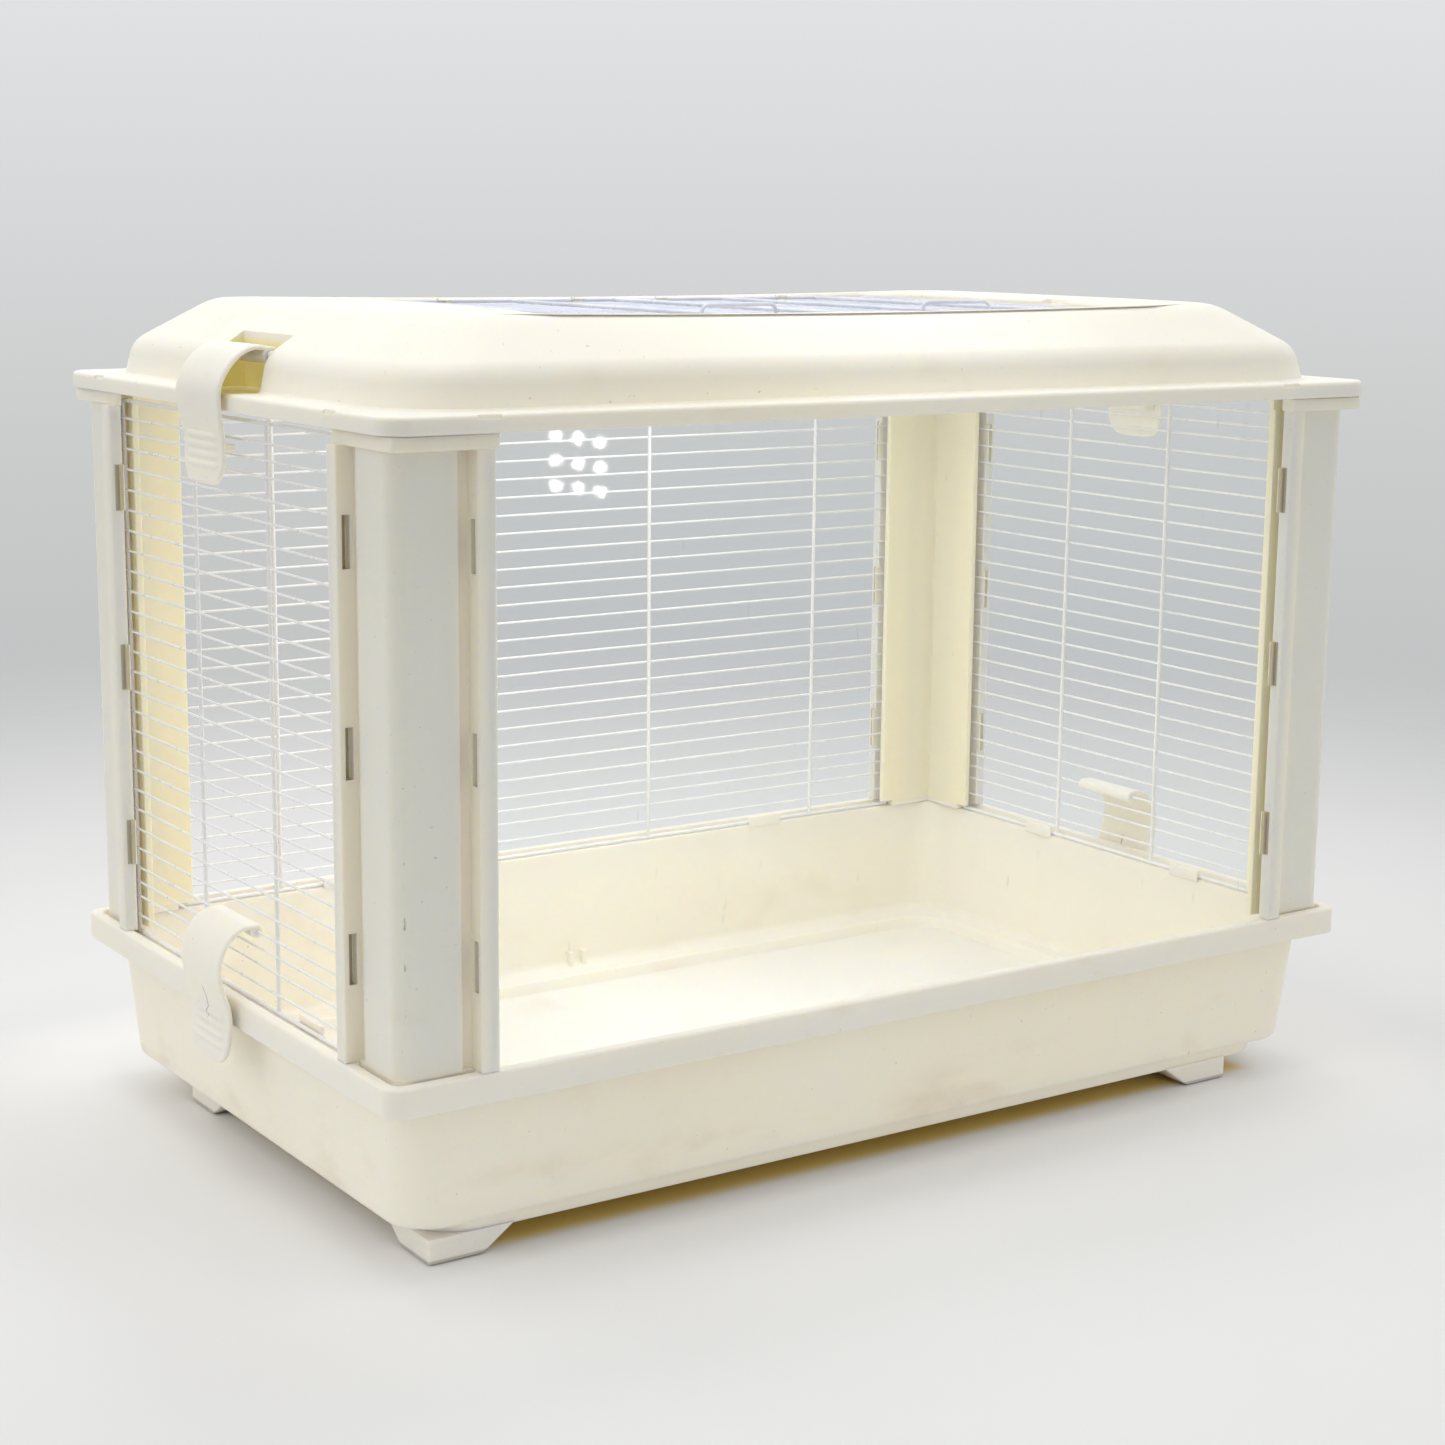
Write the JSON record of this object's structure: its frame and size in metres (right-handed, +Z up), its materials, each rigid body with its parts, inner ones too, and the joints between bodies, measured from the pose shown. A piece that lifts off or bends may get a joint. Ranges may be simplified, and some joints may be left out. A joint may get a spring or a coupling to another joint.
{
  "type": "small pet cage",
  "caption": "Rectangular small-pet cage: moulded tray on feet, corner posts, wire walls, clear front sheet, domed lid with wire roof doors and side latches.",
  "frame": {"origin": "on the floor, under the middle of the tray's rim", "axes": "+X along the long side, clear sheet faces -Y, +Z up"},
  "size_m": [0.6218, 0.376, 0.435],
  "materials": {
    "cream_plastic": "satin cream moulded plastic",
    "latch_plastic": "satin cream moulded plastic",
    "white_wire": "white dipped coating",
    "clear_sheet": "clear polystyrene sheet",
    "clip_steel": "folded spring steel"
  },
  "bodies": {
    "tray": {"base_tray": "cream_plastic"},
    "enclosure": {"post_front_left": "cream_plastic", "post_back_left": "cream_plastic", "post_front_right": "cream_plastic", "post_back_right": "cream_plastic", "wire_wall_left": "white_wire", "wire_wall_right": "white_wire", "wire_wall_back": "white_wire", "front_panel": "clear_sheet"},
    "lid": {"lid_shell": "cream_plastic", "roof_rails": "white_wire", "roof_grille_left": "white_wire", "roof_grille_right": "white_wire", "latch_pin_left": "cream_plastic", "latch_pin_right": "cream_plastic"},
    "door_left": {"door_left": "white_wire", "door_pull_left": "white_wire", "door_clips_left": "clip_steel"},
    "upper_latch_left": {"upper_latch_left": "latch_plastic"},
    "lower_latch_left": {"lower_latch_left": "latch_plastic"},
    "door_right": {"door_right": "white_wire", "door_pull_right": "white_wire", "door_clips_right": "clip_steel"},
    "upper_latch_right": {"upper_latch_right": "latch_plastic"},
    "lower_latch_right": {"lower_latch_right": "latch_plastic"}
  },
  "joints": [
    {"name": "enclosure_lift", "type": "slide", "parent": "tray", "child": "enclosure", "axis": [0, 0, 1], "range_m": [0, 0.12]},
    {"name": "lid_lift", "type": "slide", "parent": "enclosure", "child": "lid", "axis": [0, 0, 1], "range_m": [0, 0.12]},
    {"name": "door_left_hinge", "type": "hinge", "parent": "lid", "child": "door_left", "pos_m": [-0.0705, 0.112, 0.4262], "axis": [-1, 0, 0], "range_deg": [0, 100]},
    {"name": "upper_latch_left_hinge", "type": "hinge", "parent": "lid", "child": "upper_latch_left", "pos_m": [-0.276, 0, 0.4095], "axis": [0, 1, 0], "range_deg": [0, 95]},
    {"name": "lower_latch_left_hinge", "type": "hinge", "parent": "enclosure", "child": "lower_latch_left", "pos_m": [-0.2894, 0, 0.1293], "axis": [0, 1, 0], "range_deg": [0, 70]},
    {"name": "door_right_hinge", "type": "hinge", "parent": "lid", "child": "door_right", "pos_m": [0.0705, 0.112, 0.4262], "axis": [-1, 0, 0], "range_deg": [0, 100]},
    {"name": "upper_latch_right_hinge", "type": "hinge", "parent": "lid", "child": "upper_latch_right", "pos_m": [0.276, 0, 0.4095], "axis": [0, -1, 0], "range_deg": [0, 95]},
    {"name": "lower_latch_right_hinge", "type": "hinge", "parent": "enclosure", "child": "lower_latch_right", "pos_m": [0.2894, 0, 0.1293], "axis": [0, -1, 0], "range_deg": [0, 70]}
  ]
}
